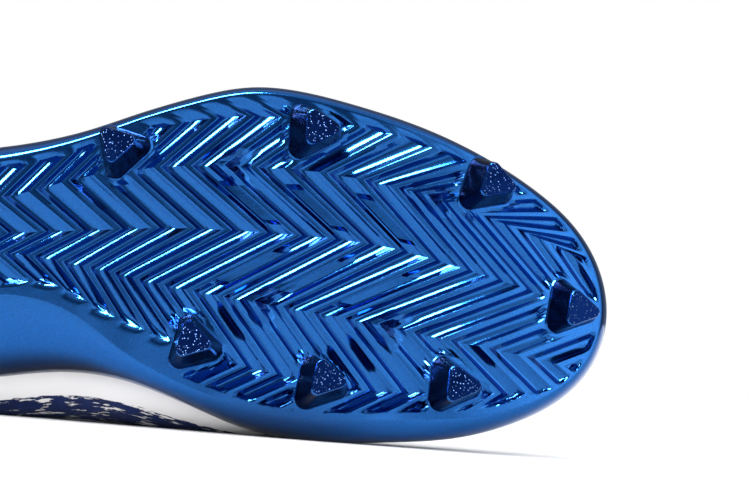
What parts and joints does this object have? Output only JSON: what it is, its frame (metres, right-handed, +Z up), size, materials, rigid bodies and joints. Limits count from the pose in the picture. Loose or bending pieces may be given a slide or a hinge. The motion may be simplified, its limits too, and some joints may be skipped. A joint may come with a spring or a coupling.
{
  "type": "football cleat",
  "caption": "Right football cleat lying on its medial side, with a blue chrome sole plate, herringbone tread, triangular studs and a white laced upper.",
  "frame": {"origin": "centre of the bounding box's bottom, on the floor that the shoe lies on", "axes": "+X towards the toe, +Y from the sole towards the opening, +Z up, towards the shoe's lateral side"},
  "size_m": [0.3, 0.1014, 0.1021],
  "materials": {
    "sole_plate": "metallised blue chrome",
    "upper": "matte white synthetic",
    "lining": "dark blue textile",
    "lace": "flat woven white lace"
  },
  "bodies": {
    "root": {"outsole": "sole_plate", "upper": "upper", "tongue": "upper", "insole": "lining", "lace": "lace"}
  },
  "joints": []
}
